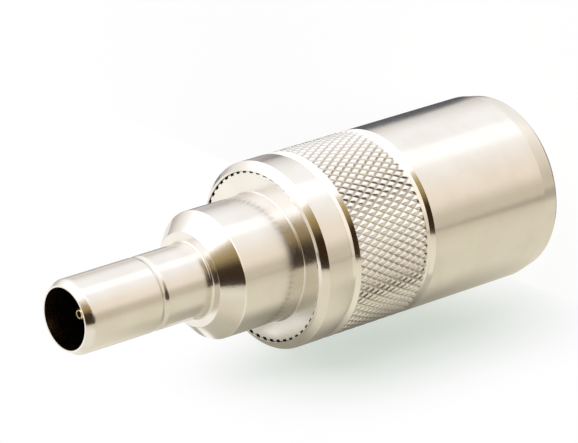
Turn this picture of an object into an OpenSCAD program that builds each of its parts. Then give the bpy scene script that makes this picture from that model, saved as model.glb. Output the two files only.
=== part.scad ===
// Coaxial adapter: a slim push-on nose pressed into a knurled barrel that holds a push-on socket.
// It stands on the barrel's open rim, with its axis along Z and the nose up.

/* [Barrel] */
// Outside diameter of the barrel and of the knurl
barrel_d = 14; // [12.6:0.1:16]
// Length of the barrel from its open rim to the lip round the flange
barrel_len = 23.4; // [22:0.1:30]
// Wall of the barrel round the socket
barrel_wall = 1.1; // [0.9:0.05:1.3]
// Width of the lip round the flange
lip_w = 0.65; // [0.56:0.01:0.8]
// Chamfer on the outer edge of the lip
lip_chamfer = 0.33; // [0.2:0.01:0.5]
// Rise of the lip's sloping face inside that chamfer
lip_rise = 0.13; // [0.05:0.01:0.2]
// Length of the plain ring behind the lip
ring_len = 2.2; // [1:0.1:4]
// Width of each groove beside the knurl
groove_w = 0.85; // [0.7:0.05:1.4]
// Depth of the grooves below the knurl's roots
groove_step = 0.12; // [0.04:0.01:0.16]
// Length of the taper at the open rim
rim_taper_len = 1.6; // [0.6:0.1:3]
// Drop of the taper at the open rim
rim_taper_drop = 0.28; // [0.1:0.02:0.4]
// Small chamfer on both edges of the rim
rim_edge = 0.15; // [0.05:0.01:0.2]

/* [Knurl] */
// Length of the knurl band
knurl_len = 6.4; // [3:0.1:8]
// Ridges round the band, the same number in each direction
knurl_starts = 70; // [40:2:90]
// Angle between the ridges and the axis
knurl_angle = 30; // [25:1:40]
// Depth of the diamonds
knurl_depth = 0.15; // [0.12:0.01:0.24]
// Plain land at each end of the knurl
knurl_land = 0.12; // [0.08:0.01:0.3]

/* [Nose] */
// Outside diameter of the nose
nose_d = 5.5; // [5:0.1:6.4]
// Length of the nose in front of the collar
nose_len = 11.15; // [9:0.05:14]
// Wall of the nose tube
nose_wall = 0.48; // [0.35:0.01:0.6]
// Flat land left round the mouth
tip_land = 0.14; // [0.04:0.01:0.2]
// Length of the chamfer behind the mouth
tip_chamfer_len = 0.57; // [0.2:0.01:1]
// Distance of the nose groove from the mouth
nose_groove_from_tip = 6.88; // [4:0.02:8]
// Width of the nose groove
nose_groove_w = 0.62; // [0.3:0.02:1]
// Depth of the nose groove
nose_groove_depth = 0.14; // [0.06:0.01:0.2]

/* [Collar] */
// Diameter of the collar
collar_d = 9.5; // [9:0.1:10.6]
// Length of the collar from its front face to the flange
collar_len = 6.8; // [5:0.05:9]
// Radial width of the collar's bevel
bevel_w = 1.25; // [0.6:0.05:1.3]
// Length of the collar's bevel
bevel_len = 1.35; // [0.6:0.05:2.5]
// Fillet at the root of the nose
nose_fillet = 0.2; // [0.1:0.02:0.3]
// Fillet at the root of the collar
collar_fillet = 0.25; // [0.1:0.02:0.4]

/* [Flange and hub] */
// Thickness of the flange pressed into the barrel
flange_t = 2.85; // [1.5:0.05:4]
// Depth of the flange's face behind the barrel's lip
flange_recess = 0.1; // [0:0.01:0.3]
// Serrations round the flange
flange_teeth = 52; // [30:1:70]
// Depth of the serrations
tooth_depth = 0.12; // [0.08:0.01:0.25]
// Length of the hub behind the flange
hub_len = 4.5; // [3.5:0.1:6]
// Bore through the middle of the body
air_bore_d = 3.4; // [2.6:0.1:3.8]

/* [Socket] */
// Room round the spring sleeve for its fingers to open
finger_room = 0.65; // [0.4:0.05:0.9]
// Wall of the spring sleeve
sleeve_wall = 0.45; // [0.3:0.01:0.6]
// Lead-in chamfer inside the sleeve's free end
sleeve_lead = 0.25; // [0.1:0.05:0.3]
// Distance of the sleeve's free end from the rim
sleeve_recess = 3.2; // [2:0.1:5]
// Depth of the sleeve's seat in the hub
sleeve_seat = 2.5; // [1.5:0.1:3]
// Slots in the spring sleeve
sleeve_slots = 6; // [4:1:8]
// Width of the slots in the spring sleeve
sleeve_slot_w = 0.6; // [0.3:0.05:1]
// Length of the slots in the spring sleeve
sleeve_slot_len = 8; // [4:0.5:10]
// Thickness of the socket insulator
socket_insulator_t = 3; // [2:0.1:4]

/* [Socket contact] */
// Diameter of the pin that the socket contact takes
pin_d = 2.4; // [2:0.05:2.6]
// Room round the pin
pin_room = 0.025; // [0.01:0.005:0.05]
// Wall of the socket contact
socket_contact_wall = 0.55; // [0.4:0.05:0.8]
// Distance of the socket contact's end from the rim
socket_contact_recess = 5.2; // [4.4:0.1:7]
// Depth of the socket contact's bore
socket_bore_len = 8.6; // [6:0.1:9]
// Diameter of the shank that passes through the insulator
socket_shank_d = 2.2; // [1.8:0.05:2.4]
// Length of the shank past the insulator
socket_shank_out = 1; // [0.5:0.1:2]
// Lead-in chamfer at the mouth of the socket contact's bore
socket_lead = 0.25; // [0.1:0.05:0.4]
// Chamfer round the end of the socket contact
socket_edge = 0.2; // [0.1:0.05:0.3]
// Slots in the socket contact
socket_slots = 4; // [2:1:6]
// Width of the slots in the socket contact
socket_slot_w = 0.3; // [0.15:0.05:0.4]
// Length of the slots in the socket contact
socket_slot_len = 6; // [3:0.5:7]

/* [Nose contact] */
// Outside diameter of the nose contact's tip
tip_contact_d = 0.85; // [0.7:0.05:1.1]
// Hole in the nose contact's tip
tip_hole_d = 0.5; // [0.3:0.05:0.55]
// Depth of that hole
tip_hole_len = 3; // [2:0.1:4]
// Distance of the contact's tip behind the mouth
tip_contact_recess = 1.3; // [0.6:0.1:2.5]
// Chamfer round the end of the tip
tip_edge = 0.1; // [0.04:0.02:0.14]
// Width of the slot across the tip
tip_slot_w = 0.1; // [0.06:0.01:0.14]
// Length of the slot across the tip
tip_slot_len = 2; // [1:0.1:2.5]
// Diameter of the nose contact's stem
stem_d = 1.3; // [1.15:0.05:1.7]
// Length of stem in front of the bead
stem_out = 0.5; // [0.2:0.1:1]
// Diameter of the tail pressed into the socket contact
tail_d = 1; // [0.7:0.05:1.1]
// Length of that tail
tail_len = 2.8; // [2:0.1:3.5]
// Length of the bead that holds the nose contact
bead_len = 8; // [4:0.1:9]
// Distance of the bead's back face from the mouth
bead_seat_from_tip = 17; // [15.5:0.1:17.4]

/* [Hidden] */
// Clearance at each press fit
fit = 0.02;
// Overlap that lets cuts run past a face
past = 0.5;
// Depth of the knurl's ring below the groove, inside the barrel wall
knurl_sunk = 0.2;
// Gap that keeps the knurl's crests just under the barrel's surface
knurl_under = 0.01;
// Room left past the end of the tail
tail_room = 0.2;

barrel_r = barrel_d / 2;
bore_r = barrel_r - barrel_wall;
lip_r = barrel_r - lip_w;
flange_r = lip_r - fit;
hub_r = bore_r - fit;
groove_depth = knurl_depth + groove_step;
core_r = barrel_r - groove_depth;
rim_r = barrel_r - rim_taper_drop;

nose_r = nose_d / 2;
nose_bore_r = nose_r - nose_wall;
collar_r = collar_d / 2;
bevel_r = collar_r - bevel_w;

sleeve_r = bore_r - finger_room;
sleeve_bore_r = sleeve_r - sleeve_wall;
pin_bore_r = pin_d / 2 + pin_room;
socket_contact_r = pin_bore_r + socket_contact_wall;

// Heights above the rim, from the lip down
z_lip = barrel_len;
z_ring = z_lip - lip_rise - lip_chamfer;
z_front_groove = z_ring - ring_len;
z_knurl_top = z_front_groove - groove_w;
z_knurl_bottom = z_knurl_top - knurl_len;
z_rear_groove = z_knurl_bottom - groove_w;

// Heights of the body and of what it carries
z_flange = z_lip - flange_recess;
z_seat = z_flange - flange_t;
z_hub = z_seat - hub_len;
z_stack = z_hub + sleeve_seat;
z_collar = z_flange + collar_len;
z_tip = z_collar + nose_len;
z_nose_groove = z_tip - nose_groove_from_tip;
z_bead = z_tip - bead_seat_from_tip;
z_insulator = z_stack - socket_insulator_t;
z_joint = z_stack + socket_shank_out;
z_contact_tip = z_tip - tip_contact_recess;
z_stem = z_bead + bead_len + stem_out;

NICKEL = [0.80, 0.77, 0.72];
GOLD = [0.83, 0.66, 0.32];
PTFE = [0.94, 0.93, 0.90];

$fn = 96;

// Half-section of the barrel, from the rim up the outside and back down the bore
barrel_section = [
    [rim_r - rim_edge, 0],
    [rim_r, rim_edge],
    [barrel_r, rim_taper_len],
    [barrel_r, z_rear_groove],
    [core_r, z_rear_groove + groove_depth],
    [core_r, z_knurl_bottom - groove_depth],
    [barrel_r, z_knurl_bottom],
    [barrel_r, z_knurl_bottom + knurl_land],
    [core_r, z_knurl_bottom + knurl_land],
    [core_r, z_knurl_top - knurl_land],
    [barrel_r, z_knurl_top - knurl_land],
    [barrel_r, z_knurl_top],
    [core_r, z_knurl_top + groove_depth],
    [core_r, z_front_groove - groove_depth],
    [barrel_r, z_front_groove],
    [barrel_r, z_ring],
    [barrel_r - lip_chamfer, z_lip - lip_rise],
    [lip_r, z_lip],
    [lip_r, z_seat],
    [bore_r, z_seat],
    [bore_r, rim_edge],
    [bore_r + rim_edge, 0],
];

// Half-section of the body without its bores and serrations, from the hub up to the mouth
body_section = [
    [0, z_hub],
    [hub_r, z_hub],
    [hub_r, z_seat],
    [flange_r - tooth_depth, z_seat],
    [flange_r - tooth_depth, z_flange],
    [collar_r, z_flange],
    [collar_r, z_collar - bevel_len],
    [bevel_r, z_collar],
    [nose_r, z_collar],
    [nose_r, z_nose_groove - nose_groove_w / 2],
    [nose_r - nose_groove_depth, z_nose_groove],
    [nose_r, z_nose_groove + nose_groove_w / 2],
    [nose_r, z_tip - tip_chamfer_len],
    [nose_bore_r + tip_land, z_tip],
    [0, z_tip],
];

// Corner filler between a cylinder of radius r and the flat face at height z
module fillet(r, z, size) {
    translate([r, z]) difference() {
        square(size);
        translate([size, size]) circle(size);
    }
}

// Cylinder between two heights
module rod(r, z0, z1) {
    translate([0, 0, z0]) cylinder(r = r, h = z1 - z0);
}

// Cone between two heights, for chamfers
module taper(r0, r1, z0, z1) {
    translate([0, 0, z0]) cylinder(r1 = r0, r2 = r1, h = z1 - z0);
}

// Radial slots between two heights
module slots(count, width, reach, z0, z1) {
    for (i = [0 : count - 1])
        rotate(i * 360 / count)
            translate([0, -width / 2, z0]) cube([reach, width, z1 - z0]);
}

// Outline with square-cut serrations
module serrated_disc(r, depth, count) {
    step = 360 / count;
    // Each serration takes half a step of crest and half a step of root
    corners = [[r - depth, -0.25], [r, -0.25], [r, 0.25], [r - depth, 0.25]];
    polygon([for (i = [0 : count - 1], c = corners)
        c[0] * [cos((i + c[1]) * step), sin((i + c[1]) * step)]]);
}

// Ring of pyramids between two heights: crests and roots alternate along each row and from row to row
module diamond_ring(inner_r, root_r, crest_r, starts, angle, z0, z1) {
    columns = 2 * starts;
    row_goal = PI * crest_r / starts / tan(angle);
    rows = max(2, round((z1 - z0) / row_goal));
    row_h = (z1 - z0) / rows;
    function at(r, column, row) =
        [r * cos(column * 360 / columns), r * sin(column * 360 / columns), z0 + row * row_h];
    function id(column, row) = row * columns + column % columns;
    function inner_id(column, end) = (rows + 1 + end) * columns + column % columns;
    outer_points = [for (m = [0 : rows], c = [0 : columns - 1])
        at((m + c) % 2 == 0 ? root_r : crest_r, c, m)];
    inner_points = [for (m = [0, rows], c = [0 : columns - 1]) at(inner_r, c, m)];
    // Each cell is split between its two roots
    outer_faces = [for (m = [0 : rows - 1], c = [0 : columns - 1])
        each (m + c) % 2 == 0
            ? [[id(c, m), id(c + 1, m + 1), id(c + 1, m)], [id(c, m), id(c, m + 1), id(c + 1, m + 1)]]
            : [[id(c, m), id(c, m + 1), id(c + 1, m)], [id(c + 1, m), id(c, m + 1), id(c + 1, m + 1)]]];
    inner_faces = [for (c = [0 : columns - 1])
        [inner_id(c, 0), inner_id(c + 1, 0), inner_id(c + 1, 1), inner_id(c, 1)]];
    bottom_faces = [for (c = [0 : columns - 1])
        [id(c, 0), id(c + 1, 0), inner_id(c + 1, 0), inner_id(c, 0)]];
    top_faces = [for (c = [0 : columns - 1])
        [id(c, rows), inner_id(c, 1), inner_id(c + 1, 1), id(c + 1, rows)]];
    polyhedron(concat(outer_points, inner_points),
               concat(outer_faces, inner_faces, bottom_faces, top_faces));
}

// Outer shell with the knurl rolled into it
module barrel() {
    color(NICKEL) union() {
        rotate_extrude() polygon(barrel_section);
        diamond_ring(core_r - knurl_sunk, barrel_r - knurl_depth, barrel_r - knurl_under,
                     knurl_starts, knurl_angle,
                     z_knurl_bottom + knurl_land / 2, z_knurl_top - knurl_land / 2);
    }
}

// Nose, collar, flange and hub, turned from one bar
module body() {
    color(NICKEL) difference() {
        union() {
            rotate_extrude() {
                polygon(body_section);
                fillet(nose_r, z_collar, nose_fillet);
                fillet(collar_r, z_flange, collar_fillet);
            }
            translate([0, 0, z_seat])
                linear_extrude(flange_t) serrated_disc(flange_r, tooth_depth, flange_teeth);
        }
        rod(nose_bore_r, z_bead, z_tip + past);
        rod(air_bore_d / 2, z_hub - past, z_bead + past);
        rod(sleeve_r + fit, z_hub - past, z_stack);
    }
}

// Slotted outer contact, seated in the back of the body
module spring_sleeve() {
    color(NICKEL) difference() {
        rod(sleeve_r, sleeve_recess, z_stack);
        rod(sleeve_bore_r, sleeve_recess - past, z_stack + past);
        taper(sleeve_bore_r + sleeve_lead, sleeve_bore_r, sleeve_recess, sleeve_recess + sleeve_lead);
        slots(sleeve_slots, sleeve_slot_w, sleeve_r + past, sleeve_recess - past,
              sleeve_recess + sleeve_slot_len);
    }
}

// Disc that centres the socket contact in the sleeve
module socket_insulator() {
    color(PTFE) difference() {
        rod(sleeve_bore_r - fit, z_insulator, z_stack);
        rod(socket_shank_d / 2 + fit, z_insulator - past, z_stack + past);
    }
}

// Slotted centre contact, with a shank through the insulator
module socket_contact() {
    color(GOLD) difference() {
        union() {
            taper(socket_contact_r - socket_edge, socket_contact_r, socket_contact_recess,
                  socket_contact_recess + socket_edge);
            rod(socket_contact_r, socket_contact_recess + socket_edge, z_insulator);
            rod(socket_shank_d / 2, z_insulator - past, z_joint);
        }
        rod(pin_bore_r, socket_contact_recess - past, socket_contact_recess + socket_bore_len);
        taper(pin_bore_r + socket_lead, pin_bore_r, socket_contact_recess,
              socket_contact_recess + socket_lead);
        rod(tail_d / 2 + fit, z_joint - tail_len - tail_room, z_joint + past);
        slots(socket_slots, socket_slot_w, socket_contact_r + past, socket_contact_recess - past,
              socket_contact_recess + socket_slot_len);
    }
}

// Bead that centres the nose contact in the nose
module nose_insulator() {
    color(PTFE) difference() {
        rod(nose_bore_r - fit, z_bead, z_bead + bead_len);
        rod(stem_d / 2 + fit, z_bead - past, z_bead + bead_len + past);
    }
}

// Centre contact of the nose, with a split hollow tip and a tail for the socket contact
module nose_contact() {
    color(GOLD) difference() {
        union() {
            rod(tail_d / 2, z_joint - tail_len, z_joint + past);
            rod(stem_d / 2, z_joint, z_stem);
            rod(tip_contact_d / 2, z_stem - past, z_contact_tip - tip_edge);
            taper(tip_contact_d / 2, tip_contact_d / 2 - tip_edge, z_contact_tip - tip_edge, z_contact_tip);
        }
        rod(tip_hole_d / 2, z_contact_tip - tip_hole_len, z_contact_tip + past);
        translate([-tip_contact_d, -tip_slot_w / 2, z_contact_tip - tip_slot_len])
            cube([2 * tip_contact_d, tip_slot_w, tip_slot_len + past]);
    }
}

barrel();
body();
spring_sleeve();
socket_insulator();
socket_contact();
nose_insulator();
nose_contact();
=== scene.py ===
"""Coaxial adapter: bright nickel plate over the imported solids, on a white sweep in soft light.

The barrel and the body are turned again here with broken edges, a rolled diamond knurl and a
serrated flange. The pieces inside the socket and the nose keep their solids and get their own
materials. Lengths are in millimetres up to the place where a mesh or an object is made.
"""
import math

import bpy
from mathutils import Matrix, Vector


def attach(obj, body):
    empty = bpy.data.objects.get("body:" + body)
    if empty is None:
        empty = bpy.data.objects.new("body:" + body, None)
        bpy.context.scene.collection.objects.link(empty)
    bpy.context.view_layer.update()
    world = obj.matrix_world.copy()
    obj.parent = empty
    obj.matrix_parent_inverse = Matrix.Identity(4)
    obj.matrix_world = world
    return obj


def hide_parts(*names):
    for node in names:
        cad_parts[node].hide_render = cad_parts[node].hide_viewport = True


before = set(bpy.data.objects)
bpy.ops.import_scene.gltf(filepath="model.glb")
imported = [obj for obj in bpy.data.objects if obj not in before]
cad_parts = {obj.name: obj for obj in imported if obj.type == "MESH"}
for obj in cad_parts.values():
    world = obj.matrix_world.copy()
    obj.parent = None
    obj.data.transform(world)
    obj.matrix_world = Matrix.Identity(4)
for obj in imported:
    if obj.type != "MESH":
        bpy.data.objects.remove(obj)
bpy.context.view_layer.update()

MM = 0.001

# Meshes: length and number of the steps on an arc, and the angle from which an edge is sharp
ARC_STEP = 0.05
ARC_STEPS_LEAST = 2
ARC_STEPS_MOST = 8
SHARP_ANGLE = math.radians(35)

# Barrel, from the open rim at height 0 up to the lip
BARREL_R = 7.0
BORE_R = 5.9
LIP_R = 6.35
LIP_CHAMFER = 0.43
LIP_RISE = 0.13
RIM_R = 6.69
RIM_EDGE = 0.15
RIM_TAPER = 1.6
GROOVE_DEPTH = 0.27
Z_LIP = 23.4
Z_RING = Z_LIP - LIP_RISE - LIP_CHAMFER
Z_FRONT_GROOVE = 20.74
Z_KNURL_TOP = 19.89
Z_KNURL_BOTTOM = 13.49
Z_REAR_GROOVE = 12.64
Z_SEAT = 20.45

# Radii of the barrel's broken edges
EDGE_BREAK = 0.05
BORE_BREAK = 0.04
LIP_BREAK = 0.08
LIP_INNER_BREAK = 0.02
RIM_ROUND = 0.36

# Knurl: grooves each way round, diamonds along the band, and mesh steps to a diamond
KNURL_STARTS = 70
KNURL_PERIODS = 6
KNURL_STEPS = 10
KNURL_PITCH = (Z_KNURL_TOP - Z_KNURL_BOTTOM) / KNURL_PERIODS

# Groove of the knurl: depth, share of the pitch that a flank takes, its curve, and the run-out
KNURL_DEPTH = 0.13
KNURL_FLANK = 0.4
KNURL_CURVE = 1.4
KNURL_RUN_OUT = 0.12

# Body, from the hub up to the mouth
HUB_R = 5.88
FLANGE_R = 6.33
FLANGE_EDGE = 0.04
COLLAR_R = 4.75
BEVEL_R = 3.5
BEVEL_LEN = 1.35
NOSE_R = 2.75
NOSE_BORE_R = 2.27
TIP_LAND_R = 2.41
TIP_CHAMFER_LEN = 0.57
NOSE_GROOVE_W = 0.62
NOSE_GROOVE_DEPTH = 0.14
AIR_BORE_R = 1.7
SLEEVE_SEAT_R = 5.27
Z_HUB = 15.95
Z_STACK = 18.45
Z_FLANGE = 23.3
Z_BEAD = 24.25
Z_COLLAR = 30.1
Z_COLLAR_EDGE = Z_COLLAR - BEVEL_LEN
Z_NOSE_GROOVE = 34.37
Z_TIP = 41.25

# Radii of the body's fillets and broken edges
HUB_BREAK = 0.1
COLLAR_FILLET = 0.15
COLLAR_BREAK = 0.22
BEVEL_BREAK = 0.05
NOSE_FILLET = 0.2
NOSE_GROOVE_ROUND = 0.3
TIP_ROUND = 0.6
MOUTH_BREAK = 0.03

# Serration of the flange: teeth, their depth, and the plain margin inside them
TEETH = 52
TOOTH_DEPTH = 0.12
TOOTH_MARGIN = 0.1

# Mesh columns of a tooth, in pitches from its middle: its edge, the flank's half width, and between
TOOTH_HALF = 0.25
TOOTH_FLANK = 0.005
TOOTH_BETWEEN = 0.12

# Reach of the brighter nickel that paints a highlight on the collar's edge, and slack in telling which
# faces are which
HIGHLIGHT_REACH = 0.08
LIP_SLACK = 0.01
BORE_SLACK = 0.001
BEAD_SLACK = 0.1

# Plating: noise steps to a metre, where drift and wear begin and end, and the depth of its relief
DRIFT_SCALE = 450.0
CUT_SCALE = 9000.0
GRAIN_SCALE = 7000.0
DRIFT_SPAN = (0.35, 0.7)
WEAR_SPAN = (0.3, 0.7)
RELIEF = 0.02
QUARTER_TURN = 0.25

# Painted shade at the bottom of the knurl's grooves (darker nickel), which ends this near to the crests
GROOVE_PAINTED_SHADE = (0.60, 0.575, 0.53)
CREST_DEPTH = 0.02

# White fluoropolymer
PTFE_DEEP = (0.90, 0.885, 0.85)
PTFE_PALE = (0.95, 0.94, 0.915)
PTFE_ROUGHNESS = (0.38, 0.52)
PTFE_CLOUD_SCALE = 900.0
PTFE_CUT_SCALE = 6000.0
PTFE_CUT_SPAN = (0.2, 0.8)
PTFE_CUT_BUMP = 0.25

# The sheet that the adapter lies on in the photograph: its normal, the way to its back, its distance
SHEET_UP = Vector((0.887, -0.462, 0.0))
SHEET_BACK = Vector((0.462, 0.887, 0.0))
SHEET_DROP = 7.1
AXIS_DIR = Vector((0.0, 0.0, 1.0))

# Level ways past the nose: towards the viewer's side, and square to that
AHEAD_DIR = SHEET_BACK * -0.62 + AXIS_DIR * 0.78
ASIDE_DIR = SHEET_BACK * 0.78 + AXIS_DIR * 0.62

# What the metal mirrors: the paper, the room and the sky round it, and the card
BLACK = (0.0, 0.0, 0.0)
PAPER_LIT = (1.16, 1.14, 1.10)
PAPER_LOW = (0.98, 0.95, 0.91)
PAPER_SHADED = (0.83, 0.775, 0.63)
PAPER_FAR = (0.74, 0.66, 0.53)
PAPER_END = (0.97, 0.93, 0.84)
ROOM_DARK = (0.036, 0.018, 0.007)
ROOM_GOLD = (0.44, 0.325, 0.14)
ROOM_TAN = (0.74, 0.66, 0.53)
ROOM_PALE = (1.05, 0.945, 0.82)
ROOM_BACK = (0.60, 0.545, 0.52)
SKY = (1.17, 1.17, 1.19)
SKY_BRIGHT = (2.0, 2.0, 2.15)
CARD_GREY = (0.10, 0.105, 0.12)
CARD_PALE = (0.58, 0.53, 0.52)
CARD_END = (0.50, 0.46, 0.455)
CARD_TOP = (0.92, 0.86, 0.82)

# Mirrored sheet, by height along the axis and place across: where the front and the lit part change
FAR_ACROSS = (-15, -42)
LOW_HEIGHT = (-24, -38)
LOW_SHARE = 0.35
END_HEIGHT = (33, 46)
END_ACROSS = (-24, -14)
LIT_HEIGHT = (18, 42)
DIM_HEIGHT = (7, 2)
DIM_ACROSS = (18, 26)
LIT_INWARD = (0, 8)

# The lit part reaches further in under the slimmer end
INWARD_HEIGHT = (20, 28)
INWARD_MOST = 2

# Painted dark reflections: on the paper past the rim, and of the dark room past the paper's edge towards
# the viewer
PAST_RIM_HEIGHT = (-9, -15)
PAST_RIM_ACROSS = (-10, -5)
PAST_EDGE_AHEAD = (64, 68)
PAST_EDGE_ACROSS = (-12, -25)

# Shadow under the adapter, deepest at the middle of its length
SHADOW_ACROSS = (-8, -3.5)
SHADOW_INWARD = (5.5, 1.5)
SHADOW_MIDDLE = 16.5
SHADOW_REACH = 18
SHADOW_SHARE = 0.67

# Painted shade on the paper as the metal sees it, in front of the knurl, on a band that runs aslant
KNURL_SHADE_SLANT = -0.55
KNURL_SHADE_BAND = (13.3, 15, 20.5, 22.3)
KNURL_SHADE_ACROSS = (-20, -12, -5, -2)
KNURL_SHADE_SHARE = 0.38

# Light that falls in past the lip, and the nose's shade on the paper behind it
GAP_HEIGHT = (24.8, 25.6, 28.6, 30.0)
GAP_ACROSS = (0.2, 1.3, 2.2, 3.0)
BEHIND_HEIGHT = (24, 27, 33, 42)
BEHIND_ACROSS = (1.9, 2.7, 3.5, 5)
BEHIND_SHARE = 0.52

# Grey card: its distance, its corners by rise and height, and where its tone changes
CARD_AWAY = 60
CARD_CORNERS = ((-7, -50), (27, -50), (23, 5), (-7, 5))
CARD_PALE_HEIGHT = (-28.5, -20)
CARD_END_HEIGHT = (-19, -12)
CARD_TOP_HEIGHT = (-17, -12)
CARD_TOP_RISE = (4, 12)

# Mirrored sky: bright in a box overhead and past the nose
BOX_BACK = (-0.24, -0.16, 0.10, 0.16)
BOX_SHARE = 0.3
GLOW_ALONG = (-0.3, 0.5)
GLOW_SHARE = 0.55

# Mirrored room in front: dark ahead of the nose, and dusk round the dark
DARK_AHEAD = (0.45, 0.72)
DARK_BACK = (-0.1, -0.38)
DARK_ASIDE = (-0.9, -0.55)
DARK_ASIDE_LEAST = 0.45
DUSK_AHEAD = (0.05, 0.55)
DUSK_SHARE = 0.88

# How far up the room's rim, its middle tone and the open sky begin, and what the dark adds to that
RIM_UP = 0.08
RIM_UP_DARK = 0.18
TONE_UP = 0.37
TONE_UP_DARK = 0.20
SKY_UP_AHEAD = 0.2
SKY_UP = (0.95, 0.8)
SKY_UP_ALONG = (-0.7, -0.85)

# Past the nose the sky starts at an upright edge
EDGE_ALONG = (0.35, 0.55)
EDGE_BACK = (-0.24, -0.04)
EDGE_UP = (0.45, 0.7)

# Mirrored room behind: its horizon is pale past the nose and past the rim, and the sky sinks beside them
BACK_HALF = (0.0, 0.4)
PALE_NOSE_ALONG = (-0.2, 0.0)
PALE_RIM_ALONG = (-0.64, -0.74)
SINK_NOSE_ALONG = (0.15, 0.5)
SINK_NOSE = 0.1
SINK_MIDDLE_ALONG = (-0.5, -0.3, -0.15, 0.0)
SINK_MIDDLE = 0.12
SKY_BACK_UP = (0.1, 0.7)

# Dark room straight past the rim
RIM_DARK_ALONG = (-0.92, -0.96)
RIM_DARK_BACK = (-0.35, -0.15)
RIM_DARK_UP = (0.35, 0.2)

# What the camera sees: white paper, of which lamp light gives a share that goes in a shadow
WHITE = (1.0, 1.0, 1.0)
SHEET_SHADE = (0.62, 0.52, 0.58)
SHEET_LEVEL = 0.97
SHEET_KEPT_HEIGHT = (-5, 12, 20, 35)
SHEET_KEPT_ACROSS = (-18, -9, -5, 6)
SHEET_SIDE = 100
SHEET_BOTTOM = -100
SHEET_TOP = 140
FLOOR_SHADE = (0.20, 0.18, 0.20)
FLOOR_LEVEL = 0.6
FLOOR_KEPT = (60, 20)
FLOOR_SIDE = 900
ROOM_LIGHT = (0.2, 0.2, 0.2)

# Lamps, by their distance from the middle of the part
LAMP_AIM = Vector((0.0, 0.0, 20.0))
KEY_UP = 250
KEY_BACK = 105
KEY_SIZE = 380
KEY_WATTS = 0.76
FILL_AWAY = 300
FILL_SIZE = 120
FILL_WATTS = 0.30

# Camera
CAMERA_AT = Vector((0.0, -229.15, 196.54))
CAMERA_TARGET = Vector((1.82, 0.0, 19.94))
CAMERA_ROLL = math.radians(107.33)
CAMERA_LENS = 248.46
CAMERA_SENSOR = 36.0
CAMERA_NEAR = 10
CAMERA_FAR = 10000
TO_CAMERA = (CAMERA_AT - CAMERA_TARGET).normalized()


# Mesh making

def rounded(corners):
    """Closed outline with each corner (r, z, radius) turned into an arc."""
    outline = []
    count = len(corners)
    for i, (r, z, radius) in enumerate(corners):
        here = Vector((r, z))
        if radius <= 0:
            outline.append((r, z))
            continue
        before = (Vector(corners[i - 1][:2]) - here).normalized()
        after = (Vector(corners[(i + 1) % count][:2]) - here).normalized()
        half = before.angle(after) / 2
        reach = radius / math.tan(half)
        centre = here + (before + after).normalized() * (radius / math.sin(half))
        first = here + before * reach - centre
        last = here + after * reach - centre
        sweep = first.angle_signed(last)
        steps = min(ARC_STEPS_MOST, max(ARC_STEPS_LEAST, round(radius / ARC_STEP)))
        for k in range(steps + 1):
            turn = Matrix.Rotation(-sweep * k / steps, 2)
            outline.append(tuple(centre + turn @ first))
    return outline


def spread(a, b, count):
    """Outline points that part the way from a to b into count steps."""
    return [(a[0] + (b[0] - a[0]) * k / count, a[1] + (b[1] - a[1]) * k / count)
            for k in range(1, count)]


def outline_normals(rows):
    """For each step of a closed outline, its normals at both ends, shared where it runs on smoothly."""
    count = len(rows)
    steps = [Vector(rows[(i + 1) % count]) - Vector(rows[i]) for i in range(count)]
    out = [Vector((step.y, -step.x)) for step in steps]

    def joined(i, j):
        smooth = out[i].angle(out[j]) < SHARP_ANGLE
        return (out[i] + out[j] if smooth else out[i]).normalized()

    return [(joined(i, i - 1), joined(i, (i + 1) % count)) for i in range(count)]


def turned(name, rows, angles, radius_at, crease_at=None):
    """Closed outline of (r, z) rows turned about Z through the given angles, as one watertight mesh.

    radius_at(row, column) gives the radius, which may differ from the row's own.
    crease_at(row, column) tells how a cell is cut in two: 1 for the diagonal that rises with the
    angle, -1 for the other, 0 for none. Cells between rows of even radius are shaded by the
    outline, so long steps stay straight up to their ends. The others have normals of their own.
    """
    columns = len(angles)
    turns = [(math.cos(angle), math.sin(angle)) for angle in angles]
    vertices = []
    even = []
    for i, (r, z) in enumerate(rows):
        radii = [radius_at(i, j) for j in range(columns)]
        vertices += [(rad * x * MM, rad * y * MM, z * MM) for rad, (x, y) in zip(radii, turns)]
        even.append(all(rad == r for rad in radii))
    faces = []
    normals = []
    for i, ends in enumerate(outline_normals(rows)):
        after = (i + 1) % len(rows)
        below = i * columns
        above = after * columns
        for j in range(columns):
            k = (j + 1) % columns
            a, b, c, d = below + j, below + k, above + k, above + j
            crease = crease_at(i, j) if crease_at else 0
            if crease:
                faces += [(a, b, c), (a, c, d)] if crease > 0 else [(a, b, d), (b, c, d)]
                normals += [(0, 0, 0)] * 6
                continue
            faces.append((a, b, c, d))
            for end, column in zip((0, 0, 1, 1), (j, k, k, j)):
                r, z = ends[end] if even[i] and even[after] else (0, 0)
                normals.append((r * turns[column][0], r * turns[column][1], z))
    mesh = bpy.data.meshes.new(name)
    mesh.from_pydata(vertices, [], faces)
    mesh.polygons.foreach_set("use_smooth", [True] * len(faces))
    mesh.set_sharp_from_angle(angle=SHARP_ANGLE)
    mesh.normals_split_custom_set(normals)
    return mesh


def add_piece(name, mesh, node, materials):
    """Object for a mesh that stands for a CAD node."""
    piece = bpy.data.objects.new(name, mesh)
    bpy.context.scene.collection.objects.link(piece)
    for material in materials:
        mesh.materials.append(material)
    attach(piece, "root")
    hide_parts(node)


# Sockets of a mix node that are for colours: the factor, the two colours and the result
COLOUR_INPUTS = (0, 6, 7)
COLOUR_OUTPUT = 2


# Node making

def node(tree, kind, values=None, **settings):
    """New shader node. values fills its inputs, with a constant or another socket."""
    made = tree.nodes.new(kind)
    for key, value in settings.items():
        setattr(made, key, value)
    for key, value in (values or {}).items():
        fill(tree, made.inputs[key], value)
    return made


def fill(tree, socket, value):
    """Links a socket to another one, or sets it to a constant."""
    if isinstance(value, bpy.types.NodeSocket):
        tree.links.new(value, socket)
    else:
        socket.default_value = value


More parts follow.
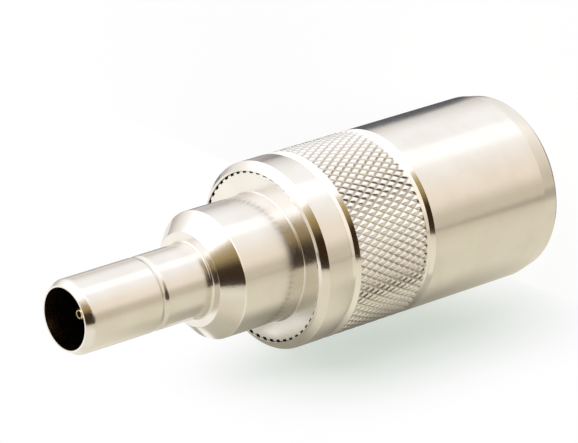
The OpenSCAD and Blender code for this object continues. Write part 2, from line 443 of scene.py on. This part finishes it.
def maths(tree, operation, a, b=0.0, c=0.0):
    return node(tree, "ShaderNodeMath", {0: a, 1: b, 2: c}, operation=operation).outputs[0]


def times(tree, first, *others):
    """Product of values."""
    product = first
    for other in others:
        product = maths(tree, "MULTIPLY", product, other)
    return product


def dot(tree, vector, direction):
    made = node(tree, "ShaderNodeVectorMath", {0: vector, 1: direction}, operation="DOT_PRODUCT")
    return made.outputs["Value"]


def length(tree, vector):
    made = node(tree, "ShaderNodeVectorMath", {0: vector}, operation="LENGTH")
    return made.outputs["Value"]


def in_mm(tree, place, direction):
    """How far a place in metres lies along a direction, in millimetres."""
    return maths(tree, "DIVIDE", dot(tree, place, direction), MM)


def ramp(tree, value, low, high, to_low=0.0, to_high=1.0):
    """Smooth step of a value from low to high."""
    made = node(tree, "ShaderNodeMapRange",
                {"Value": value, "From Min": low, "From Max": high,
                 "To Min": to_low, "To Max": to_high},
                interpolation_type="SMOOTHSTEP")
    return made.outputs["Result"]


def span(tree, value, edges):
    """Smooth step between two edges. With four, it also falls again from the third to the fourth."""
    inside = ramp(tree, value, *edges[:2])
    if len(edges) == 4:
        inside = times(tree, inside, ramp(tree, value, edges[3], edges[2]))
    return inside


def blend(tree, factor, a, b):
    """Mix of two colours."""
    made = node(tree, "ShaderNodeMix", data_type="RGBA")
    for number, value in zip(COLOUR_INPUTS, (factor, a, b)):
        fill(tree, made.inputs[number], value)
    return made.outputs[COLOUR_OUTPUT]


def rgb(r, g, b):
    return (r, g, b, 1.0)


def patch(tree, seen, tone, share, *spans):
    """Lays a share of a tone over a colour, where each value lies between its edges."""
    cover = times(tree, *(span(tree, value, edges) for value, edges in spans), share)
    return blend(tree, cover, seen, rgb(*tone))


def noise(tree, vector, scale, detail=2.0, roughness=0.5):
    made = node(tree, "ShaderNodeTexNoise",
                {"Vector": vector, "Scale": scale, "Detail": detail, "Roughness": roughness})
    return made.outputs["Fac"]


def bump(tree, height, strength, **below):
    """Normal with a fine relief, over another normal where one is given."""
    made = node(tree, "ShaderNodeBump",
                {"Height": height, "Strength": strength, "Distance": RELIEF * MM, **below})
    return made.outputs[0]


def glow(tree, tone):
    """Light of a tone, where 1 is white."""
    return node(tree, "ShaderNodeEmission", {"Color": tone, "Strength": 1.0}).outputs[0]


def either(tree, factor, a, b):
    """Mix of two shaders."""
    return node(tree, "ShaderNodeMixShader", {0: factor, 1: a, 2: b}).outputs[0]


# Materials

def new_material(name):
    """Node material with its shader, and the place on the part in metres."""
    material = bpy.data.materials.new(name)
    material.use_nodes = True
    tree = material.node_tree
    shader = tree.nodes["Principled BSDF"]
    place = node(tree, "ShaderNodeTexCoord").outputs["Object"]
    return material, tree, shader, place


def bare_material(name):
    """Node material without any nodes."""
    material = bpy.data.materials.new(name)
    material.use_nodes = True
    material.node_tree.nodes.clear()
    return material, material.node_tree


def turned_place(tree, place):
    """Radius of a place on the part, and the radius and height as one vector."""
    split = node(tree, "ShaderNodeSeparateXYZ", {0: place}).outputs
    radius = length(tree, node(tree, "ShaderNodeCombineXYZ", {0: split[0], 1: split[1]}).outputs[0])
    return radius, node(tree, "ShaderNodeCombineXYZ", {0: radius, 1: split[2]}).outputs[0]


def turning_lines(tree, place, scale):
    """Noise that only changes along the lathe's cut: with the radius and with the height."""
    return noise(tree, turned_place(tree, place)[1], scale, detail=3.0, roughness=0.6)


def metal(name, pale, deep, roughness, line_bump, grain_bump, turned_grain=0.0, groove_shade_radii=None):
    """Plated metal: tint that drifts a little, turning lines and a fine plating grain.

    turned_grain, up to 1, blurs what the metal mirrors across the lathe's cut and not along it.
    groove_shade_radii gives the radius at and below which the grooves take the painted shade, and the
    radius from which they keep the plain tint.
    """
    material, tree, shader, place = new_material(name)
    drift = noise(tree, place, DRIFT_SCALE, detail=3.0)
    lines = turning_lines(tree, place, CUT_SCALE)
    grain = noise(tree, place, GRAIN_SCALE)
    tint = blend(tree, span(tree, drift, DRIFT_SPAN), rgb(*pale), rgb(*deep))
    # Painted shade: the grooves darken towards their bottom
    if groove_shade_radii:
        open_share = ramp(tree, turned_place(tree, place)[0], groove_shade_radii[0] * MM, groove_shade_radii[1] * MM)
        tint = blend(tree, open_share, rgb(*GROOVE_PAINTED_SHADE), tint)
    wear = times(tree, maths(tree, "ADD", grain, lines), 0.5)
    fill(tree, shader.inputs["Base Color"], tint)
    fill(tree, shader.inputs["Roughness"], ramp(tree, wear, *WEAR_SPAN, *roughness))
    fill(tree, shader.inputs["Metallic"], 1.0)
    if turned_grain:
        around = node(tree, "ShaderNodeTangent", direction_type="RADIAL", axis="Z")
        fill(tree, shader.inputs["Anisotropic"], turned_grain)
        fill(tree, shader.inputs["Anisotropic Rotation"], QUARTER_TURN)
        fill(tree, shader.inputs["Tangent"], around.outputs[0])
    cut = bump(tree, lines, line_bump)
    fill(tree, shader.inputs["Normal"], bump(tree, grain, grain_bump, Normal=cut))
    return material


def insulator(name):
    """White fluoropolymer: soft sheen, faint clouding and fine turning lines."""
    material, tree, shader, place = new_material(name)
    cloud = noise(tree, place, PTFE_CLOUD_SCALE, detail=4.0)
    lines = turning_lines(tree, place, PTFE_CUT_SCALE)
    fill(tree, shader.inputs["Base Color"], blend(tree, cloud, rgb(*PTFE_DEEP), rgb(*PTFE_PALE)))
    fill(tree, shader.inputs["Roughness"], ramp(tree, lines, *PTFE_CUT_SPAN, *PTFE_ROUGHNESS))
    fill(tree, shader.inputs["Normal"], bump(tree, lines, PTFE_CUT_BUMP))
    return material


nickel = metal("nickel", pale=(0.81, 0.78, 0.73), deep=(0.78, 0.745, 0.69), roughness=(0.17, 0.22),
               line_bump=0.05, grain_bump=0.15, turned_grain=0.78)
# Brighter copy of the nickel: painted highlight on the collar's edge and the barrel's grooves
painted_highlight_nickel = metal("painted_highlight_nickel", pale=(0.93, 0.91, 0.87), deep=(0.90, 0.87, 0.82),
                      roughness=(0.1, 0.16), line_bump=0.05, grain_bump=0.05)
# Brighter copy of the nickel: painted highlight on the lip
lip_nickel_painted_highlight = metal("lip_nickel_painted_highlight", pale=(0.85, 0.82, 0.77), deep=(0.82, 0.785, 0.73),
                   roughness=(0.1, 0.15), line_bump=0.05, grain_bump=0.05)
# Brighter copy of the nickel: painted highlight on the knurl, with painted shade in its grooves
knurl_nickel_painted_light = metal("knurl_nickel_painted_light", pale=(0.90, 0.88, 0.85), deep=(0.87, 0.845, 0.81),
                      roughness=(0.1, 0.16), line_bump=0.0, grain_bump=0.05,
                      groove_shade_radii=(BARREL_R - KNURL_DEPTH, BARREL_R - CREST_DEPTH))
spring_nickel = metal("spring_nickel", pale=(0.74, 0.72, 0.68), deep=(0.69, 0.66, 0.61),
                      roughness=(0.18, 0.3), line_bump=0.2, grain_bump=0.1)
gold = metal("gold", pale=(0.84, 0.69, 0.42), deep=(0.78, 0.62, 0.34),
             roughness=(0.18, 0.28), line_bump=0.15, grain_bump=0.08)
bore_shade = metal("bore_shade", pale=(0.20, 0.12, 0.085), deep=(0.10, 0.06, 0.042),
                   roughness=(0.25, 0.4), line_bump=0.3, grain_bump=0.2)
ptfe = insulator("ptfe")


# Barrel

def groove_distances(around, along):
    """Distance, in pitches, to the nearest groove that falls with the angle and to one that rises."""
    falling = abs((around + along + 0.5) % 1 - 0.5)
    rising = abs((around - along + 0.5) % 1 - 0.5)
    return falling, rising


def make_barrel():
    core_r = BARREL_R - GROOVE_DEPTH
    corners = [
        (RIM_R, 0, RIM_ROUND),
        (BARREL_R, RIM_TAPER, EDGE_BREAK),
        (BARREL_R, Z_REAR_GROOVE, EDGE_BREAK),
        (core_r, Z_REAR_GROOVE + GROOVE_DEPTH, EDGE_BREAK),
        (core_r, Z_KNURL_BOTTOM - GROOVE_DEPTH, EDGE_BREAK),
        (BARREL_R, Z_KNURL_BOTTOM, 0),
        (BARREL_R, Z_KNURL_TOP, 0),
        (core_r, Z_KNURL_TOP + GROOVE_DEPTH, EDGE_BREAK),
        (core_r, Z_FRONT_GROOVE - GROOVE_DEPTH, EDGE_BREAK),
        (BARREL_R, Z_FRONT_GROOVE, EDGE_BREAK),
        (BARREL_R, Z_RING, EDGE_BREAK),
        (BARREL_R - LIP_CHAMFER, Z_LIP - LIP_RISE, LIP_BREAK),
        (LIP_R, Z_LIP, LIP_INNER_BREAK),
        (LIP_R, Z_SEAT, 0),
        (BORE_R, Z_SEAT, BORE_BREAK),
        (BORE_R, RIM_EDGE, EDGE_BREAK),
        (BORE_R + RIM_EDGE, 0, BORE_BREAK),
    ]
    rows = rounded(corners)
    start = rows.index((BARREL_R, Z_KNURL_BOTTOM))
    band = spread(rows[start], rows[start + 1], KNURL_PERIODS * KNURL_STEPS)
    rows = rows[:start + 1] + band + rows[start + 1:]
    stop = start + len(band) + 1
    columns = KNURL_STARTS * KNURL_STEPS
    angles = [2 * math.pi * j / columns for j in range(columns)]

    def radius_at(i, j):
        r, z = rows[i]
        if not start <= i <= stop:
            return r
        near = min(groove_distances(j / KNURL_STEPS, (z - Z_KNURL_BOTTOM) / KNURL_PITCH))
        open_share = max(0, 1 - near / KNURL_FLANK)
        run_out = min(1, (z - Z_KNURL_BOTTOM) / KNURL_RUN_OUT, (Z_KNURL_TOP - z) / KNURL_RUN_OUT)
        return r - KNURL_DEPTH * run_out * open_share ** KNURL_CURVE

    def crease_at(i, j):
        if not start <= i < stop:
            return 0
        along = ((rows[i][1] + rows[i + 1][1]) / 2 - Z_KNURL_BOTTOM) / KNURL_PITCH
        falling, rising = groove_distances((j + 0.5) / KNURL_STEPS, along)
        return 1 if rising < falling else -1

    mesh = turned("barrel_turned", rows, angles, radius_at, crease_at)
    materials = [nickel, painted_highlight_nickel, knurl_nickel_painted_light, lip_nickel_painted_highlight]
    add_piece("barrel_turned", mesh, "barrel", materials)
    grooves = ((Z_REAR_GROOVE, Z_KNURL_BOTTOM), (Z_KNURL_TOP, Z_FRONT_GROOVE))
    # Faces of the grooves, the knurl and the lip get brighter nickel, a painted highlight; the knurl's
    # grooves also get painted shade
    for polygon in mesh.polygons:
        place = polygon.center / MM
        if math.hypot(place.x, place.y) < LIP_R - LIP_SLACK:
            continue
        if any(a < place.z < b for a, b in grooves):
            polygon.material_index = materials.index(painted_highlight_nickel)
        elif Z_KNURL_BOTTOM < place.z < Z_KNURL_TOP:
            polygon.material_index = materials.index(knurl_nickel_painted_light)
        elif place.z > Z_RING:
            polygon.material_index = materials.index(lip_nickel_painted_highlight)


# Body

def make_body():
    corners = [
        (HUB_R, Z_HUB, HUB_BREAK),
        (HUB_R, Z_SEAT, 0),
        (FLANGE_R, Z_SEAT, 0),
        (FLANGE_R, Z_FLANGE - FLANGE_EDGE, 0),
        (FLANGE_R - FLANGE_EDGE, Z_FLANGE, 0),
        (FLANGE_R - TOOTH_DEPTH - TOOTH_MARGIN, Z_FLANGE, 0),
        (COLLAR_R, Z_FLANGE, COLLAR_FILLET),
        (COLLAR_R, Z_COLLAR_EDGE, COLLAR_BREAK),
        (BEVEL_R, Z_COLLAR, BEVEL_BREAK),
        (NOSE_R, Z_COLLAR, NOSE_FILLET),
        (NOSE_R, Z_NOSE_GROOVE - NOSE_GROOVE_W / 2, NOSE_GROOVE_ROUND),
        (NOSE_R - NOSE_GROOVE_DEPTH, Z_NOSE_GROOVE, NOSE_GROOVE_ROUND),
        (NOSE_R, Z_NOSE_GROOVE + NOSE_GROOVE_W / 2, NOSE_GROOVE_ROUND),
        (NOSE_R, Z_TIP - TIP_CHAMFER_LEN, TIP_ROUND),
        (TIP_LAND_R, Z_TIP, MOUTH_BREAK),
        (NOSE_BORE_R, Z_TIP, MOUTH_BREAK),
        (NOSE_BORE_R, Z_BEAD, 0),
        (AIR_BORE_R, Z_BEAD, 0),
        (AIR_BORE_R, Z_STACK, 0),
        (SLEEVE_SEAT_R, Z_STACK, 0),
        (SLEEVE_SEAT_R, Z_HUB, HUB_BREAK),
    ]
    rows = rounded(corners)
    # Pairs of columns close together stand at the two flanks of each tooth
    inner = TOOTH_HALF - TOOTH_FLANK
    outer = TOOTH_HALF + TOOTH_FLANK
    tooth = (-inner, -TOOTH_BETWEEN, 0.0, TOOTH_BETWEEN, inner)
    space = (outer, 0.5 - TOOTH_BETWEEN, 0.5, 0.5 + TOOTH_BETWEEN)
    parts = (-outer,) + tooth + space
    angles = [(i + part) * 2 * math.pi / TEETH for i in range(TEETH) for part in parts]

    def radius_at(i, j):
        r = rows[i][0]
        on_rim = r > FLANGE_R - TOOTH_DEPTH
        on_tooth = abs(parts[j % len(parts)]) < TOOTH_HALF
        return r - TOOTH_DEPTH if on_rim and not on_tooth else r

    mesh = turned("body_turned", rows, angles, radius_at)
    materials = [nickel, bore_shade, painted_highlight_nickel]
    add_piece("body_turned", mesh, "body", materials)
    # The collar's edge gets brighter nickel, a painted highlight
    for polygon in mesh.polygons:
        place = polygon.center / MM
        in_bore = math.hypot(place.x, place.y) < NOSE_BORE_R + BORE_SLACK
        if in_bore and place.z > Z_BEAD - BEAD_SLACK:
            polygon.material_index = materials.index(bore_shade)
        elif abs(place.z - Z_COLLAR_EDGE) < HIGHLIGHT_REACH:
            polygon.material_index = materials.index(painted_highlight_nickel)


make_barrel()
make_body()

# The pieces inside keep their solids
inner_materials = {
    "spring_sleeve": spring_nickel,
    "socket_insulator": ptfe,
    "socket_contact": gold,
    "nose_insulator": ptfe,
    "nose_contact": gold,
}
for name, material in inner_materials.items():
    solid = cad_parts[name]
    solid.data.materials.clear()
    solid.data.materials.append(material)


# Stage

def plane(name, corners, material):
    mesh = bpy.data.meshes.new(name)
    mesh.from_pydata([tuple(Vector(c) * MM) for c in corners], [], [tuple(range(len(corners)))])
    mesh.materials.append(material)
    made = bpy.data.objects.new(name, mesh)
    bpy.context.scene.collection.objects.link(made)
    made.visible_diffuse = False
    return made


def pale_shaders(tree, shade, level):
    """White, and the same white of which lamp light of the given level gives the share in shade."""
    paper = node(tree, "ShaderNodeBsdfDiffuse", {"Color": rgb(*shade)}).outputs[0]
    rest = glow(tree, rgb(*(1 - share * level for share in shade)))
    shaded = node(tree, "ShaderNodeAddShader", {0: paper, 1: rest}).outputs[0]
    return glow(tree, rgb(*WHITE)), shaded


def make_floor():
    """White floor, which keeps the shadow near the part."""
    material, tree = bare_material("floor_white")
    white, shaded = pale_shaders(tree, FLOOR_SHADE, FLOOR_LEVEL)
    place = node(tree, "ShaderNodeNewGeometry").outputs["Position"]
    away = maths(tree, "DIVIDE", length(tree, place), MM)
    surface = either(tree, span(tree, away, FLOOR_KEPT), white, shaded)
    node(tree, "ShaderNodeOutputMaterial", {"Surface": surface})
    side = FLOOR_SIDE
    corners = [(-side, -side, 0), (side, -side, 0), (side, side, 0), (-side, side, 0)]
    floor = plane("floor", corners, material)
    floor.visible_glossy = False


def mirrored_sheet(tree, across, height):
    """Colour of the sheet as metal sees it: paper that is lit behind the part and shaded in front."""
    front = blend(tree, span(tree, across, FAR_ACROSS), rgb(*PAPER_SHADED), rgb(*PAPER_FAR))
    front = patch(tree, front, BLACK, LOW_SHARE, (height, LOW_HEIGHT))
    front = patch(tree, front, PAPER_END, 1.0, (height, END_HEIGHT), (across, END_ACROSS))
    lit = blend(tree, span(tree, height, LIT_HEIGHT), rgb(*PAPER_LOW), rgb(*PAPER_LIT))
    lit = patch(tree, lit, CARD_GREY, 1.0, (height, DIM_HEIGHT), (across, DIM_ACROSS))
    inward = maths(tree, "ADD", across, ramp(tree, height, *INWARD_HEIGHT, 0, INWARD_MOST))
    seen = blend(tree, span(tree, inward, LIT_INWARD), front, lit)
    seen = patch(tree, seen, CARD_GREY, 1.0, (height, PAST_RIM_HEIGHT), (across, PAST_RIM_ACROSS))
    off_middle = maths(tree, "SUBTRACT", height, SHADOW_MIDDLE)
    off_middle = maths(tree, "DIVIDE", off_middle, SHADOW_REACH)
    fade = maths(tree, "SUBTRACT", 1.0, times(tree, off_middle, off_middle))
    depth = times(tree, maths(tree, "MAXIMUM", fade, 0.0), SHADOW_SHARE)
    seen = patch(tree, seen, BLACK, depth, (across, SHADOW_ACROSS), (inward, SHADOW_INWARD))
    # Painted shade in front of the knurl, which darkens its lower side as the metal mirrors it
    aslant = maths(tree, "MULTIPLY_ADD", across, KNURL_SHADE_SLANT, height)
    seen = patch(tree, seen, BLACK, KNURL_SHADE_SHARE, (aslant, KNURL_SHADE_BAND), (across, KNURL_SHADE_ACROSS))
    seen = patch(tree, seen, PAPER_LIT, 1.0, (height, GAP_HEIGHT), (across, GAP_ACROSS))
    return patch(tree, seen, BLACK, BEHIND_SHARE, (height, BEHIND_HEIGHT), (across, BEHIND_ACROSS))


def make_sheet():
    """White sheet behind the adapter, with a shadow that fades out towards its rim and its nose."""
    material, tree = bare_material("sheet_white")
    white, shaded = pale_shaders(tree, SHEET_SHADE, SHEET_LEVEL)
    geometry = node(tree, "ShaderNodeNewGeometry").outputs
    across = in_mm(tree, geometry["Position"], SHEET_BACK)
    height = in_mm(tree, geometry["Position"], AXIS_DIR)
    ahead = in_mm(tree, geometry["Position"], AHEAD_DIR)
    seen = mirrored_sheet(tree, across, height)
    seen = patch(tree, seen, ROOM_DARK, 1.0, (ahead, PAST_EDGE_AHEAD), (across, PAST_EDGE_ACROSS))
    kept = times(tree, span(tree, height, SHEET_KEPT_HEIGHT), span(tree, across, SHEET_KEPT_ACROSS))
    path = node(tree, "ShaderNodeLightPath").outputs
    front = either(tree, path["Is Glossy Ray"], either(tree, kept, white, shaded), glow(tree, seen))
    clear = node(tree, "ShaderNodeBsdfTransparent").outputs[0]
    surface = either(tree, geometry["Backfacing"], front, clear)
    node(tree, "ShaderNodeOutputMaterial", {"Surface": surface})
    foot = -SHEET_UP * SHEET_DROP
    ends = ((-SHEET_SIDE, SHEET_BOTTOM), (SHEET_SIDE, SHEET_BOTTOM),
            (SHEET_SIDE, SHEET_TOP), (-SHEET_SIDE, SHEET_TOP))
    corners = [foot + SHEET_BACK * side + AXIS_DIR * z for side, z in ends]
    sheet = plane("sheet", corners, material)
    sheet.visible_shadow = False


def make_card():
    """Card behind the barrel, which the metal alone sees, as a dark line along the barrel's top."""
    material, tree = bare_material("card_grey")
    place = node(tree, "ShaderNodeNewGeometry").outputs["Position"]
    height = in_mm(tree, place, AXIS_DIR)
    rise = in_mm(tree, place, SHEET_UP)
    tone = blend(tree, span(tree, height, CARD_PALE_HEIGHT), rgb(*CARD_GREY), rgb(*CARD_PALE))
    tone = patch(tree, tone, CARD_END, 1.0, (height, CARD_END_HEIGHT))
    tone = patch(tree, tone, CARD_TOP, 1.0, (height, CARD_TOP_HEIGHT), (rise, CARD_TOP_RISE))
    node(tree, "ShaderNodeOutputMaterial", {"Surface": glow(tree, tone)})
    at = SHEET_BACK * CARD_AWAY
    corners = [at + SHEET_UP * up + AXIS_DIR * z for up, z in CARD_CORNERS]
    card = plane("card", corners, material)
    card.visible_camera = False
    card.visible_shadow = False


def mirrored_front(tree, up, back, along, way, sky):
    """Room in front of the part: from the rim through a middle tone to the sky."""
    ahead = dot(tree, way, AHEAD_DIR)
    aside = dot(tree, way, ASIDE_DIR)
    to_front = span(tree, back, DARK_BACK)
    dark = times(tree, span(tree, ahead, DARK_AHEAD), to_front,
                 ramp(tree, aside, *DARK_ASIDE, DARK_ASIDE_LEAST, 1.0))
    dusk = times(tree, span(tree, ahead, DUSK_AHEAD), to_front, DUSK_SHARE)
    low = maths(tree, "MULTIPLY_ADD", dark, RIM_UP_DARK, RIM_UP)
    half = maths(tree, "MULTIPLY_ADD", dark, TONE_UP_DARK, TONE_UP)
    high = maths(tree, "MULTIPLY_ADD", ahead, SKY_UP_AHEAD, ramp(tree, along, *SKY_UP_ALONG, *SKY_UP))
    rim = blend(tree, maths(tree, "MAXIMUM", dark, dusk), rgb(*ROOM_TAN), rgb(*ROOM_DARK))
    tone = blend(tree, dark, rgb(*ROOM_PALE), rgb(*ROOM_GOLD))
    front = blend(tree, ramp(tree, up, low, half), rim, tone)
    edge = times(tree, span(tree, back, EDGE_BACK), span(tree, up, EDGE_UP))
    open_sky = blend(tree, span(tree, along, EDGE_ALONG), ramp(tree, up, half, high), edge)
    return blend(tree, open_sky, front, sky)


def mirrored_behind(tree, up, along, sky):
    """Room behind the part: a horizon under the sky."""
    pale = maths(tree, "MAXIMUM", span(tree, along, PALE_NOSE_ALONG), span(tree, along, PALE_RIM_ALONG))
    horizon = blend(tree, pale, rgb(*ROOM_BACK), rgb(*PAPER_LOW))
    lifted = maths(tree, "MULTIPLY_ADD", span(tree, along, SINK_NOSE_ALONG), SINK_NOSE, up)
    lifted = maths(tree, "MULTIPLY_ADD", span(tree, along, SINK_MIDDLE_ALONG), SINK_MIDDLE, lifted)
    return blend(tree, span(tree, lifted, SKY_BACK_UP), horizon, sky)


def make_world():
    """White to the camera. Metal sees a bright sky over a low rim that is dark in front of the nose."""
    world = bpy.data.worlds.new("studio")
    bpy.context.scene.world = world
    world.use_nodes = True
    tree = world.node_tree
    tree.nodes.clear()
    way = node(tree, "ShaderNodeTexCoord").outputs["Generated"]
    up = dot(tree, way, SHEET_UP)
    back = dot(tree, way, SHEET_BACK)
    along = dot(tree, way, AXIS_DIR)
    nose_glow = times(tree, span(tree, along, GLOW_ALONG), GLOW_SHARE)
    bright = maths(tree, "MULTIPLY_ADD", span(tree, back, BOX_BACK), BOX_SHARE, nose_glow)
    sky = blend(tree, bright, rgb(*SKY), rgb(*SKY_BRIGHT))
    front = mirrored_front(tree, up, back, along, way, sky)
    behind = mirrored_behind(tree, up, along, sky)
    mirrored = blend(tree, span(tree, back, BACK_HALF), front, behind)
    mirrored = patch(tree, mirrored, CARD_GREY, 1.0, (along, RIM_DARK_ALONG), (back, RIM_DARK_BACK),
                     (up, RIM_DARK_UP))
    path = node(tree, "ShaderNodeLightPath").outputs
    plain = blend(tree, path["Is Camera Ray"], rgb(*ROOM_LIGHT), rgb(*WHITE))
    seen = blend(tree, path["Is Glossy Ray"], plain, mirrored)
    background = node(tree, "ShaderNodeBackground", {"Color": seen, "Strength": 1.0})
    node(tree, "ShaderNodeOutputWorld", {"Surface": background.outputs[0]})


def make_lamp(name, place, size, watts):
    lamp = bpy.data.lights.new(name, "AREA")
    lamp.shape = "DISK"
    lamp.size = size * MM
    lamp.energy = watts
    made = bpy.data.objects.new(name, lamp)
    bpy.context.scene.collection.objects.link(made)
    made.location = place * MM
    made.rotation_mode = "QUATERNION"
    made.rotation_quaternion = ((LAMP_AIM - place) * MM).to_track_quat("-Z", "Y")
    made.visible_glossy = False


def make_camera():
    data = bpy.data.cameras.new("camera")
    data.sensor_width = CAMERA_SENSOR
    data.lens = CAMERA_LENS
    data.clip_start = CAMERA_NEAR * MM
    data.clip_end = CAMERA_FAR * MM
    made = bpy.data.objects.new("camera", data)
    bpy.context.scene.collection.objects.link(made)
    level = AXIS_DIR.cross(TO_CAMERA).normalized()
    upright = TO_CAMERA.cross(level)
    up = upright * math.cos(CAMERA_ROLL) + level * math.sin(CAMERA_ROLL)
    right = up.cross(TO_CAMERA)
    turn = Matrix((right, up, TO_CAMERA)).transposed().to_4x4()
    made.matrix_world = Matrix.Translation(CAMERA_AT * MM) @ turn
    bpy.context.scene.camera = made


make_floor()
make_sheet()
make_card()
make_world()
make_lamp("key", LAMP_AIM + SHEET_UP * KEY_UP + SHEET_BACK * KEY_BACK, KEY_SIZE, KEY_WATTS)
make_lamp("fill", LAMP_AIM + TO_CAMERA * FILL_AWAY, FILL_SIZE, FILL_WATTS)
make_camera()

bpy.context.scene.view_settings.view_transform = "Standard"
